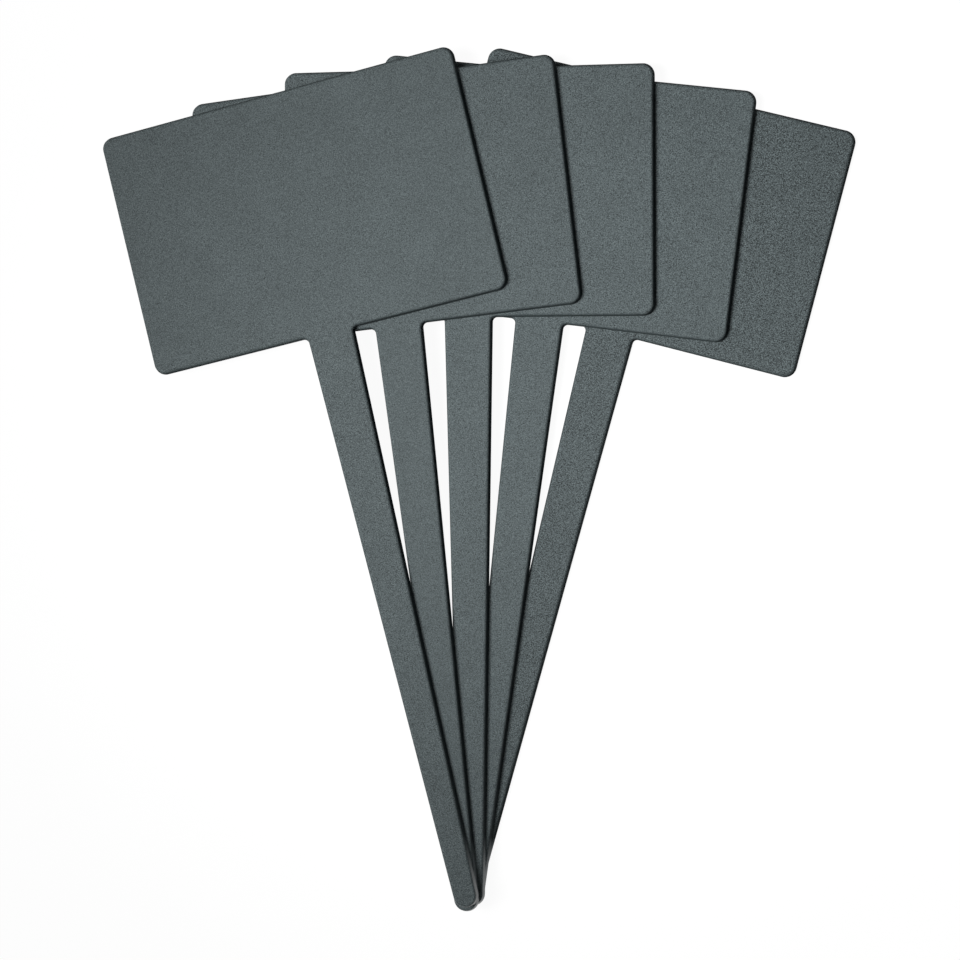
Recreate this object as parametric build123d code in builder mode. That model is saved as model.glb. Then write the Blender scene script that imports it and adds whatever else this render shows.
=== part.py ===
# A set of five one-piece plant label stakes, laid flat on a table as an open fan.
# Millimetres, +Z up. The lowest stake lies on Z = 0, the tips point to -Y,
# and the origin is under the middle of the fan's bounding box.
import os
from math import asin, atan2, cos, hypot, radians, sin

from build123d import *

# Label board that carries the writing
label_width = 106.0
label_height = 70.0
label_corner_radius = 3.4

# Stem that goes into the soil, tapering from the label's lower edge to a full-round tip
stem_length = 167.5
stem_root_width = 14.0
tip_diameter = 7.4
junction_radius = 1.3

# Moulded plate, one thickness all over: the flat back has the full outline, the walls lean in
# to the front by the mould's draft in degrees, the front rim is rounded and the back edge is eased
plate_thickness = 2.0
wall_draft = 15.0
front_rounding = 0.8
back_easing = 0.15
rounding_share_of_thickness = 0.4

# The fan, from the stake on the table to the one on top: each stake's turn about its own tip
# in degrees, and how far its tip lies from the common meeting point, across and along
fan_layers = {
    "bottom_stake": (-14.32, (-1.8, 0.8)),
    "lower_stake": (-6.83, (0.0, 0.0)),
    "middle_stake": (0.36, (1.0, 0.0)),
    "upper_stake": (6.79, (0.1, -1.2)),
    "top_stake": (13.7, (0.7, 0.4)),
}

# The stem's sides run from the label's lower edge to where they touch the tip's circle
tip_radius = tip_diameter / 2
root_half = stem_root_width / 2
taper_run = stem_length - tip_radius
side_lean = atan2(root_half, taper_run) - asin(tip_radius / hypot(root_half, taper_run))
tip_touch = (tip_radius * cos(side_lean), tip_radius * (1 - sin(side_lean)))
total_length = stem_length + label_height
front_radius = min(front_rounding, rounding_share_of_thickness * plate_thickness)


def seat(turn, tip, height):
    """Plane of one stake: its origin at the stake's tip, its Y axis along the stem to the label."""
    along = radians(turn)
    return Plane(origin=(tip[0], tip[1], height), x_dir=(cos(along), sin(along), 0), z_dir=(0, 0, 1))


def stake_outline(plane):
    """Face of one stake on its plane, facing up: its right half drawn from the tip, then mirrored."""
    with BuildSketch(plane) as outline:
        with BuildLine():
            TangentArc((0, 0), tip_touch, tangent=(1, 0))
            FilletPolyline(
                tip_touch,
                (root_half, stem_length),
                (label_width / 2, stem_length),
                (label_width / 2, total_length),
                (0, total_length),
                radius=[junction_radius, label_corner_radius, label_corner_radius],
            )
            mirror(about=Plane.YZ)
        make_face()
    return outline.sketch


def make_stake(name, plane):
    """One stake: its outline drawn up from the back with drafted walls, then both edges softened."""
    with BuildPart() as stake:
        add(stake_outline(plane))
        extrude(amount=plate_thickness, taper=wall_draft)
        fillet(stake.faces().sort_by(Axis.Z)[-1].edges(), radius=front_radius)
        fillet(stake.faces().sort_by(Axis.Z)[0].edges(), radius=back_easing)
    stake.part.label = name
    export_step(stake.part, f"parts/{name}.step")


# Middle of the whole fan, taken from the five outlines as they lie around the common meeting point
outlines = [stake_outline(seat(turn, tip, 0)) for turn, tip in fan_layers.values()]
fan_middle = Compound(children=outlines).bounding_box().center()

# Every stake lies face to face on the one below it
os.makedirs("parts", exist_ok=True)
for layer, (name, (turn, tip)) in enumerate(fan_layers.items()):
    tip_place = (tip[0] - fan_middle.X, tip[1] - fan_middle.Y)
    make_stake(name, seat(turn, tip_place, layer * plate_thickness))
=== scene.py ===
"""A fan of five moulded plant label stakes, dressed and lit as a catalogue picture.

Metres, +Z up, tips towards -Y. Each stake is rebuilt as a finer moulding in the place of its own
solid, with drafted walls, a rounded front rim and the matt grained slate finish of the set.
"""

import logging
import math
from dataclasses import dataclass, replace
from enum import Enum

import bmesh
import bpy
from mathutils import Matrix, Vector


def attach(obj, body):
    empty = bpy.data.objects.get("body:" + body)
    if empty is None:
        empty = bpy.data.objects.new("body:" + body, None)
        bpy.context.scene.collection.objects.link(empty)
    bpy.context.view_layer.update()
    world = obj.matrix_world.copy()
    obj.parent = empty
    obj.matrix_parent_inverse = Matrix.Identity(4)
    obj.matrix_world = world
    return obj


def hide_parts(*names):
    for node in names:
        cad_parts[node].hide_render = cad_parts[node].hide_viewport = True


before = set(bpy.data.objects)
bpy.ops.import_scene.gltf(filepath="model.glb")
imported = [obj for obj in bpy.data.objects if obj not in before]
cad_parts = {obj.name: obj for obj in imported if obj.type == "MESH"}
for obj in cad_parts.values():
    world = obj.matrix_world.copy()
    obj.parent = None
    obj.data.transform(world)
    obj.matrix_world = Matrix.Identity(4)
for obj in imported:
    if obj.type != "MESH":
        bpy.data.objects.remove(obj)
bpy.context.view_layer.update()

MM = 0.001
LOG = logging.getLogger("label_stakes")

Pair = tuple[float, float]
Triple = tuple[float, float, float]
Socket = bpy.types.NodeSocket


class Layer(Enum):
    """The five places in the stack, from the table up, by the name of the stake that lies there."""

    BOTTOM = "bottom_stake"
    LOWER = "lower_stake"
    MIDDLE = "middle_stake"
    UPPER = "upper_stake"
    TOP = "top_stake"

    @property
    def level(self) -> int:
        """How many stakes lie under this one."""
        return list(Layer).index(self)


class Ray(Enum):
    """Which rays meet the white backdrop, by the output of the light path node."""

    SEEN = "Is Camera Ray"
    MIRRORED = "Is Glossy Ray"
    PASSED = "Is Transmission Ray"


class Graph:
    """A node tree that starts empty, with short calls to add nodes and join their sockets."""

    def __init__(self, tree: bpy.types.NodeTree) -> None:
        """Take over the tree and clear it.

        Args:
            tree: The node tree of a material or of the world.
        """
        self.tree = tree
        self.tree.nodes.clear()

    def add(
        self,
        kind: str,
        inputs: dict[str | int, object] | None = None,
        **settings: object,
    ) -> bpy.types.Node:
        """Add a node.

        Args:
            kind: The node's type, without the leading words "ShaderNode".
            inputs: Values for its sockets, or sockets of other nodes to join to them.
            settings: The node's own options.

        Returns:
            The new node.
        """
        node = self.tree.nodes.new("ShaderNode" + kind)
        for option, value in settings.items():
            setattr(node, option, value)
        for socket, value in (inputs or {}).items():
            if isinstance(value, bpy.types.NodeSocket):
                self.tree.links.new(value, node.inputs[socket])
            else:
                node.inputs[socket].default_value = value
        return node

    def math(self, operation: str, first: Socket | float, second: Socket | float = 0.0) -> Socket:
        """Work out one number from two.

        Args:
            operation: The name of the sum, such as "ADD".
            first: The first number.
            second: The second number, where the sum has one.

        Returns:
            The socket that carries the result.
        """
        return self.add("Math", {0: first, 1: second}, operation=operation).outputs[0]

    def spread(self, value: Socket, low: float, high: float, to_low: float, to_high: float) -> Socket:
        """Carry a number from one range to another, held at the ends.

        Args:
            value: The number.
            low: Where its range starts.
            high: Where its range ends.
            to_low: What the start becomes.
            to_high: What the end becomes.

        Returns:
            The socket that carries the result.
        """
        ranges = {"Value": value, "From Min": low, "From Max": high, "To Min": to_low, "To Max": to_high}
        return self.add("MapRange", ranges).outputs["Result"]

    def blend(self, first: Socket | float, second: Socket | float, share: Socket) -> Socket:
        """Go over from one number to another.

        Args:
            first: The number where the share is 0.
            second: The number where it is 1.
            share: How far to go.

        Returns:
            The socket that carries the result.
        """
        ends = {"Factor": share, "A": first, "B": second}
        return self.add("Mix", ends, data_type="FLOAT").outputs["Result"]

    def noise(self, place: Socket, size: float, detail: float) -> Socket:
        """Make an endless cloudy pattern.

        Args:
            place: Where on the stake the surface is.
            size: How large its clouds are.
            detail: How many finer patterns lie over it.

        Returns:
            A socket that wavers about 0.5.
        """
        return self.add("TexNoise", {"Vector": place, "Scale": 1 / size, "Detail": detail}).outputs["Fac"]

    def white_rays(self) -> Socket:
        """Tell the rays that meet the white backdrop from the ones that carry light.

        Returns:
            A socket that is 1 for the rays of the Ray options and 0 for all others.
        """
        path = self.add("LightPath")
        told = path.outputs[Ray.SEEN.value]
        for ray in (Ray.MIRRORED, Ray.PASSED):
            told = self.math("MAXIMUM", told, path.outputs[ray.value])
        return told


@dataclass(frozen=True)
class SlateFinish:
    """Matt slate-grey plastic with the fine eroded grain of its mould, plain on the walls, with a darker
    wall colour that is painted shade.

    The ranges are the values of a pattern, or of a share, at which a change starts and ends.
    """

    colour: Triple = (0.101, 0.124, 0.1285)
    darkest: float = 0.2
    grain_size: float = 0.27 * MM
    grain_detail: float = 2.0
    grain_range: Pair = (0.25, 0.75)
    grain_contrast: float = 0.80
    stem_grain: float = 1.0
    stem_fade: float = 6 * MM
    grain_height: float = 0.020 * MM
    grain_cut: Triple = (0.7, 0.4, 0.2)
    cloud_size: float = 11 * MM
    cloud_detail: float = 3.0
    cloud_range: Pair = (0.3, 0.7)
    cloud_contrast: float = 0.05
    dot_core: float = 0.4
    pit_spacing: float = 1.3 * MM
    pit_size: float = 0.20
    pit_share: float = 0.35
    pit_painted_shade: float = 0.35
    pit_depth: float = 0.8
    speck_spacing: float = 14 * MM
    speck_size: float = 0.020
    speck_share: float = 1.0
    speck_lightness: float = 0.9
    roughness: float = 0.62
    roughness_spread: float = 0.12
    roughness_range: Pair = (0.3, 0.7)
    gloss_level: float = 0.15
    # Painted shade: the walls' colour as a share of the faces' colour.
    painted_wall_shade: float = 0.65
    wall_gloss: float = 0.0
    wall_range: Pair = (0.3, 1.0)
    worn_length: float = 32 * MM
    worn_gloss: float = 0.8
    worn_roughness: float = 0.35
    worn_range: Pair = (0.35, 0.75)

    def dots(self, graph: Graph, place: Socket, spacing: float, size: float, share: float) -> Socket:
        """Scatter small round dots over the surface.

        Args:
            graph: The material's nodes.
            place: Where on the stake the surface is.
            spacing: How far apart the places for dots are.
            size: A dot's radius as a share of that spacing.
            share: The share of places that have a dot.

        Returns:
            A socket that is 1 in the middle of a dot and 0 between dots.
        """
        cells = graph.add("TexVoronoi", {"Vector": place, "Scale": 1 / spacing})
        dot = graph.spread(cells.outputs["Distance"], self.dot_core * size, size, 1.0, 0.0)
        lot = graph.add("SeparateColor", {"Color": cells.outputs["Color"]}).outputs["Red"]
        return graph.math("MULTIPLY", dot, graph.math("LESS_THAN", lot, share))

    def grain_strength(self, graph: Graph, spot: Socket, seat: Matrix, stem: float) -> Socket:
        """Tell the stem from the board, since their grain differs in strength.

        Args:
            graph: The material's nodes.
            spot: Where in the fan the surface is.
            seat: Where the stake lies.
            stem: How long its stem is.

        Returns:
            A socket that is 1 on the board and changes to stem_grain where the stem starts.
        """
        lie = {"Vector": spot, "Location": tuple(seat.to_translation()), "Rotation": tuple(seat.to_euler())}
        own = graph.add("Mapping", lie, vector_type="TEXTURE").outputs["Vector"]
        along = graph.add("SeparateXYZ", {"Vector": own}).outputs["Y"]
        return graph.spread(along, stem - self.stem_fade, stem + self.stem_fade, self.stem_grain, 1.0)

    def tint(
        self,
        graph: Graph,
        place: Socket,
        grain: Socket,
        strength: Socket,
        pits: Socket,
        flat: Socket,
    ) -> Socket:
        """Colour the surface: grain, clouds, pits and specks on the faces, and plain walls with painted
        shade.

        Args:
            graph: The material's nodes.
            place: Where on the stake the surface is.
            grain: The pattern of the grain.
            strength: How strong the grain is there, 1 on the board.
            pits: The dots that are pits, which get painted shade in their colour.
            flat: How level the surface is, 1 on the faces.

        Returns:
            The socket that carries the colour.
        """
        clouds = graph.noise(place, self.cloud_size, self.cloud_detail)
        specks = self.dots(graph, place, self.speck_spacing, self.speck_size, self.speck_share)
        swing = graph.spread(grain, *self.grain_range, -self.grain_contrast, self.grain_contrast)
        tone = graph.math("ADD", graph.math("MULTIPLY", swing, strength), 1.0)
        cloud = graph.spread(clouds, *self.cloud_range, 1 - self.cloud_contrast, 1 + self.cloud_contrast)
        tone = graph.math("MULTIPLY", tone, cloud)
        # Painted shade: the pits are darker in colour.
        tone = graph.math("MULTIPLY", tone, graph.spread(pits, 0.0, 1.0, 1.0, 1 - self.pit_painted_shade))
        tone = graph.math("ADD", tone, graph.math("MULTIPLY", specks, self.speck_lightness))
        tone = graph.math("MAXIMUM", tone, self.darkest)
        # Painted shade: the walls take the darker wall colour.
        tone = graph.blend(self.painted_wall_shade, tone, flat)
        return graph.add("VectorMath", {0: self.colour, "Scale": tone}, operation="SCALE").outputs["Vector"]

    def relief(self, graph: Graph, grain: Socket, pits: Socket, flat: Socket) -> Socket:
        """Raise the grain and sink the pits on the faces.

        Args:
            graph: The material's nodes.
            grain: The pattern of the grain.
            pits: The dots that are pits.
            flat: How level the surface is, 1 on the faces.

        Returns:
            The socket that carries the way that the surface faces.
        """
        height = graph.math("SUBTRACT", grain, graph.math("MULTIPLY", pits, self.pit_depth))
        height = graph.math("MULTIPLY", height, flat)
        return graph.add("Bump", {"Height": height, "Distance": self.grain_height}).outputs["Normal"]

    def material(self, name: str, patch: float, seat: Matrix, stem: float) -> bpy.types.Material:
        """Make the finish.

        Args:
            name: The material's name.
            patch: Which patch of the endless grain this stake gets, any number.
            seat: Where the stake lies.
            stem: How long its stem is.

        Returns:
            The new material.
        """
        made = bpy.data.materials.new(name)
        made.use_nodes = True
        made.diffuse_color = (*self.colour, 1.0)
        graph = Graph(made.node_tree)
        spot = graph.add("TexCoord").outputs["Object"]
        cut = {"Vector": spot, "Location": (patch, 2 * patch, 0), "Rotation": self.grain_cut}
        place = graph.add("Mapping", cut).outputs["Vector"]
        flat = graph.add("Attribute", attribute_name=LabelStake.FLAT).outputs["Fac"]
        worn = graph.add("Attribute", attribute_name=LabelStake.WORN).outputs["Fac"]
        grain = graph.noise(place, self.grain_size, self.grain_detail)
        strength = self.grain_strength(graph, spot, seat, stem)
        pits = self.dots(graph, place, self.pit_spacing, self.pit_size, self.pit_share)

        low, high = self.roughness - self.roughness_spread, self.roughness + self.roughness_spread
        rough = graph.spread(grain, *self.roughness_range, high, low)
        gloss = graph.spread(flat, *self.wall_range, self.wall_gloss, self.gloss_level)
        polish = graph.spread(worn, *self.worn_range, 0.0, 1.0)
        plastic = graph.add("BsdfPrincipled", {
            "Base Color": (*self.colour, 1.0),
            "Roughness": graph.blend(rough, self.worn_roughness, polish),
            "Specular IOR Level": graph.blend(gloss, self.worn_gloss, polish),
            "Normal": self.relief(graph, grain, pits, flat),
        })
        tinted = self.tint(graph, place, grain, strength, pits, flat)
        graph.tree.links.new(tinted, plastic.inputs["Base Color"])
        graph.add("OutputMaterial", {"Surface": plastic.outputs["BSDF"]})
        return made


@dataclass(frozen=True)
class EdgePoint:
    """A point of a stake's outline and the way out of the plate there."""

    place: Vector
    out: Vector


@dataclass(frozen=True)
class StakeShape:
    """The outline and the edge section that all five stakes share, with the tip at the origin."""

    label_width: float = 106 * MM
    label_height: float = 70 * MM
    label_corner: float = 3.4 * MM
    stem_length: float = 167.5 * MM
    stem_root: float = 14 * MM
    tip_diameter: float = 7.4 * MM
    junction: float = 1.3 * MM
    thickness: float = 2 * MM
    draft: float = math.radians(15)
    front_rounding: float = 0.8 * MM
    back_easing: float = 0.15 * MM
    arc_step: float = math.radians(5)
    least_arc_steps: int = 4
    run_step: float = 6 * MM
    rim_steps: int = 8

    @property
    def side_lean(self) -> float:
        """How far each side of the stem leans in towards the tip, in radians."""
        root, tip = self.stem_root / 2, self.tip_diameter / 2
        run = self.stem_length - tip
        return math.atan2(root, run) - math.asin(tip / math.hypot(root, run))

    def arc(self, centre: Pair, radius: float, start: float, end: float) -> list[EdgePoint]:
        """Go round one arc of the outline.

        Args:
            centre: The arc's centre.
            radius: Its radius, below zero where the plate lies outside the arc.
            start: The angle at which it starts, in radians.
            end: The angle at which it ends.

        Returns:
            Points from start to end.
        """
        steps = max(self.least_arc_steps, round(abs(end - start) / self.arc_step))
        points = []
        for step in range(steps + 1):
            angle = start + (end - start) * step / steps
            way = Vector((math.cos(angle), math.sin(angle)))
            out = way if radius > 0 else -way
            points.append(EdgePoint(Vector(centre) + way * abs(radius), out))
        return points

    def run(self, start: EdgePoint, end: EdgePoint) -> list[EdgePoint]:
        """Divide a straight stretch of the outline.

        Args:
            start: The point before the stretch.
            end: The point after it.

        Returns:
            The points between the two, without either.
        """
        steps = max(1, round((end.place - start.place).length / self.run_step))
        return [EdgePoint(start.place.lerp(end.place, k / steps), start.out) for k in range(1, steps)]

    def right_half(self) -> list[EdgePoint]:
        """Follow the right half of the outline from the label's upper edge down to the tip.

        Returns:
            The points, the first and the last on the stake's middle line.
        """
        lean, tip = self.side_lean, self.tip_diameter / 2
        side = self.label_width / 2 - self.label_corner
        top = self.stem_length + self.label_height
        root = self.stem_root / 2 + self.junction * (1 - math.sin(lean)) / math.cos(lean)
        quarter = math.pi / 2
        arcs = [
            self.arc((side, top - self.label_corner), self.label_corner, quarter, 0),
            self.arc((side, self.stem_length + self.label_corner), self.label_corner, 0, -quarter),
            self.arc((root, self.stem_length - self.junction), -self.junction, quarter, math.pi - lean),
            self.arc((0, tip), tip, -lean, -quarter),
        ]
        points = [EdgePoint(Vector((0, top)), Vector((0, 1)))]
        for arc in arcs:
            points += self.run(points[-1], arc[0]) + arc
        return points

    def outline(self) -> list[EdgePoint]:
        """Close the outline.

        Returns:
            The points all round, against the clock as seen from above.
        """
        right = self.right_half()
        left = [EdgePoint(Vector((-p.place.x, p.place.y)), Vector((-p.out.x, p.out.y))) for p in right[1:-1]]
        return left + right[::-1]

    def section(self) -> list[Triple]:
        """Follow the edge section from the front face round the rim, down the wall and to the back.

        Returns:
            For each step the distance in from the outline, the height, and the angle that the
            surface has turned from facing up.
        """
        wall = math.pi / 2 - self.draft
        rounds = (
            (self.front_rounding, self.thickness - self.front_rounding, 0.0, wall),
            (self.back_easing, self.back_easing, wall, math.pi),
        )
        steps = []
        for radius, height, start, end in rounds:
            centre = height * math.tan(self.draft) + radius / math.cos(self.draft)
            for step in range(self.rim_steps + 1):
                turn = start + (end - start) * step / self.rim_steps
                steps.append((centre - radius * math.sin(turn), height + radius * math.cos(turn), turn))
        return steps


@dataclass
class LabelStake:
    """One stake of the fan: a label board and its tapered stem, moulded in one piece."""

    FLAT = "flat_share"
    WORN = "worn_share"
    PATCH_STEP = 0.37

    layer: Layer
    turn: float
    tip: Pair
    finish: SlateFinish
    shape: StakeShape = StakeShape()

    @property
    def placement(self) -> Matrix:
        """Where the stake lies: turned about its tip, on the stakes under it."""
        lift = self.layer.level * self.shape.thickness
        return Matrix.Translation((*self.tip, lift)) @ Matrix.Rotation(math.radians(self.turn), 4, "Z")

    def build(self) -> bpy.types.Object:
        """Mould the stake as one closed mesh with smooth rims.

        Returns:
            The stake's object, in its place in the fan.
        """
        outline, section = self.shape.outline(), self.shape.section()
        place = self.placement
        spin = place.to_3x3()
        shell = bmesh.new()
        flat = shell.verts.layers.float.new(self.FLAT)
        worn = shell.verts.layers.float.new(self.WORN)
        rings, normals = [], []
        for inset, height, turn in section:
            ring = []
            for point in outline:
                spot = point.place - point.out * inset
                vertex = shell.verts.new(place @ Vector((*spot, height)))
                vertex[flat] = abs(math.cos(turn))
                vertex[worn] = max(0.0, 1 - spot.y / self.finish.worn_length) * math.sin(turn) ** 2
                ring.append(vertex)
                normals.append(spin @ Vector((*(point.out * math.sin(turn)), math.cos(turn))))
            rings.append(ring)
        for upper, lower in zip(rings, rings[1:]):
            for here in range(len(upper)):
                after = (here + 1) % len(upper)
                shell.faces.new((lower[here], lower[after], upper[after], upper[here]))
        shell.faces.new(rings[0])
        shell.faces.new(rings[-1][::-1])
        mesh = bpy.data.meshes.new(self.layer.value + "_moulding")
        shell.to_mesh(mesh)
        shell.free()
        mesh.shade_smooth()
        mesh.normals_split_custom_set_from_vertices(normals)
        stake = bpy.data.objects.new(mesh.name, mesh)
        bpy.context.scene.collection.objects.link(stake)
        return stake

    def dress(self, stake: bpy.types.Object) -> None:
        """Give the stake its finish and put it in the place of its solid.

        Args:
            stake: The object that build made.
        """
        patch = self.PATCH_STEP * (1 + self.layer.level)
        name = "slate_" + self.layer.value
        slate = self.finish.material(name, patch, self.placement, self.shape.stem_length)
        stake.data.materials.append(slate)
        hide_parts(self.layer.value)
        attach(stake, self.layer.value)


@dataclass
class Fan:
    """The set of five stakes, laid out as an open fan with the tips together."""

    meeting_point: Pair = (-0.614 * MM, -121.034 * MM)
    finish: SlateFinish = SlateFinish()

    def stake(
        self,
        layer: Layer,
        turn: float,
        tip: Pair,
        shade: float,
        grain: float,
        stem_grain: float,
    ) -> LabelStake:
        """Set out one stake.

        Args:
            layer: Its place in the stack.
            turn: Its turn about its own tip, in degrees.
            tip: How far its tip lies from the meeting point, across and along, in millimetres.
            shade: Its colour as a share of the common one, set to even out how the lamp lights each stake:
                painted light and shade.
            grain: Its grain's contrast as a share of the common one, stronger where the lamp's light grazes
                the grain: partly real grain, partly painted shading of its relief.
            stem_grain: The grain's contrast on its stem as a share of the board's.

        Returns:
            The stake, not yet built.
        """
        place = (self.meeting_point[0] + tip[0] * MM, self.meeting_point[1] + tip[1] * MM)
        # Painted light and shade: each stake's colour is scaled by its shade.
        colour = tuple(shade * part for part in self.finish.colour)
        # Partly painted shade: a stronger grain contrast stands in for light grazing the grain's relief.
        contrast = grain * self.finish.grain_contrast
        finish = replace(self.finish, colour=colour, grain_contrast=contrast, stem_grain=stem_grain)
        return LabelStake(layer, turn, place, finish)

    def stakes(self) -> list[LabelStake]:
        """Set out the whole fan.

        Returns:
            The five stakes, from the table up.
        """
        # The shades are painted light and shade that even out how the lamp lights each stake.
        return [
            self.stake(Layer.BOTTOM, turn=-14.32, tip=(-1.8, 0.8), shade=0.90, grain=2.0, stem_grain=0.78),
            self.stake(Layer.LOWER, turn=-6.83, tip=(0.0, 0.0), shade=1.04, grain=1.3, stem_grain=0.77),
            self.stake(Layer.MIDDLE, turn=0.36, tip=(1.0, 0.0), shade=1.03, grain=1.2, stem_grain=0.82),
            self.stake(Layer.UPPER, turn=6.79, tip=(0.1, -1.2), shade=1.00, grain=1.1, stem_grain=0.72),
            self.stake(Layer.TOP, turn=13.7, tip=(0.7, 0.4), shade=0.98, grain=0.88, stem_grain=1.25),
        ]


@dataclass(frozen=True)
class AreaLamp:
    """A flat lamp: the point it faces, how far off, high and round it hangs, its size, spread and power."""

    name: str
    aim: Triple
    reach: float
    rise: float
    bearing: float
    size: Pair
    spread: float
    power: float


@dataclass
class Studio:
    """The white table, the soft light over its left side and the camera above it."""

    table_size: float = 6.0
    table_drop: float = 0.05 * MM
    table_bounce: float = 0.65
    table_white: float = 0.95
    white_rim: Pair = (0.16, 0.4)
    table_shade: float = 0.10
    ambient: float = 0.006
    soft_box: AreaLamp = AreaLamp(
        name="soft_box",
        aim=(70 * MM, 41 * MM, 0.0),
        reach=0.55,
        rise=math.radians(56),
        bearing=math.radians(186),
        size=(0.27, 0.31),
        spread=math.radians(55),
        power=0.44,
    )
    aim: Triple = (1.78 * MM, 0.42 * MM, 0.0)
    camera_lean: float = math.radians(11.08)
    camera_bearing: float = math.radians(14.3)
    camera_distance: float = 717.8 * MM
    lens: float = 94.6

    def lay_table(self) -> None:
        """Lay the white table, which shows white and keeps a faint shadow of the stakes."""
        half = self.table_size / 2
        mesh = bpy.data.meshes.new("table")
        corners = [(-half, -half, 0), (half, -half, 0), (half, half, 0), (-half, half, 0)]
        mesh.from_pydata(corners, [], [(0, 1, 2, 3)])
        table = bpy.data.objects.new("table", mesh)
        table.location.z = -self.table_drop
        bpy.context.scene.collection.objects.link(table)
        paint = bpy.data.materials.new("table_white")
        paint.use_nodes = True
        graph = Graph(paint.node_tree)
        bounce = graph.add("BsdfDiffuse", {"Color": (*[self.table_bounce] * 3, 1.0)}).outputs["BSDF"]
        shade = graph.add("BsdfDiffuse", {"Color": (*[self.table_shade] * 3, 1.0)}).outputs["BSDF"]
        spot = graph.add("TexCoord").outputs["Object"]
        away = graph.add("VectorMath", {0: spot}, operation="LENGTH").outputs["Value"]
        white = graph.spread(away, *self.white_rim, self.table_white, 1.0)
        glow = graph.add("Emission", {"Strength": white}).outputs["Emission"]
        shown = graph.add("AddShader", {0: glow, 1: shade}).outputs["Shader"]
        mixed = graph.add("MixShader", {0: graph.white_rays(), 1: bounce, 2: shown}).outputs["Shader"]
        graph.add("OutputMaterial", {"Surface": mixed})
        mesh.materials.append(paint)

    def fill_room(self) -> None:
        """Leave the room nearly dark around the lamp, and white where it is seen."""
        world = bpy.data.worlds.new("room")
        world.use_nodes = True
        graph = Graph(world.node_tree)
        dim = graph.add("Background", {"Strength": self.ambient}).outputs["Background"]
        white = graph.add("Background", {"Color": (1, 1, 1, 1), "Strength": 1.0}).outputs["Background"]
        mixed = graph.add("MixShader", {0: graph.white_rays(), 1: dim, 2: white}).outputs["Shader"]
        graph.add("OutputWorld", {"Surface": mixed})
        bpy.context.scene.world = world

    def hang_lamp(self, lamp: AreaLamp) -> None:
        """Hang one lamp over the table.

        Args:
            lamp: What the lamp is like and where it points.
        """
        light = bpy.data.lights.new(lamp.name, "AREA")
        light.shape = "RECTANGLE"
        light.size, light.size_y = lamp.size
        light.spread = lamp.spread
        light.energy = lamp.power
        way = Vector((
            math.cos(lamp.rise) * math.cos(lamp.bearing),
            math.cos(lamp.rise) * math.sin(lamp.bearing),
            math.sin(lamp.rise),
        ))
        hung = bpy.data.objects.new(lamp.name, light)
        hung.matrix_world = self.facing(Vector(lamp.aim), way, lamp.reach)
        bpy.context.scene.collection.objects.link(hung)

    def set_camera(self) -> None:
        """Set the camera above the table, leaning to the right as in the photograph."""
        lens = bpy.data.cameras.new("camera")
        lens.lens = self.lens
        way = Vector((
            math.sin(self.camera_lean) * math.cos(self.camera_bearing),
            math.sin(self.camera_lean) * math.sin(self.camera_bearing),
            math.cos(self.camera_lean),
        ))
        camera = bpy.data.objects.new("camera", lens)
        camera.matrix_world = self.facing(Vector(self.aim), way, self.camera_distance)
        bpy.context.scene.collection.objects.link(camera)
        bpy.context.scene.camera = camera

    @staticmethod
    def facing(target: Vector, way: Vector, distance: float) -> Matrix:
        """Place something that looks at a point, with +Y upwards in its view.

        Args:
            target: The point that it looks at.
            way: The direction from the point to it, of length 1.
            distance: How far away it is.

        Returns:
            Its place and turn.
        """
        across = Vector((0, 1, 0)).cross(way).normalized()
        up = way.cross(across)
        turn = Matrix((across, up, way)).transposed().to_4x4()
        return Matrix.Translation(target + way * distance) @ turn

    def set_up(self) -> None:
        """Make the whole studio and choose plain colour handling."""
        self.lay_table()
        self.fill_room()
        self.hang_lamp(self.soft_box)
        self.set_camera()
        bpy.context.scene.view_settings.view_transform = "Standard"


def main() -> None:
    """Build and dress the five stakes from the table up, then set up the studio round them."""
    logging.basicConfig(level=logging.INFO, format="%(name)s: %(message)s")
    for stake in Fan().stakes():
        moulding = stake.build()
        stake.dress(moulding)
        faces = len(moulding.data.polygons)
        LOG.info("%s with %d faces lies on layer %d", moulding.name, faces, stake.layer.level)
    studio = Studio()
    studio.set_up()
    LOG.info("studio set up, with a lens of %.1f mm", studio.lens)


if __name__ == "__main__":
    main()
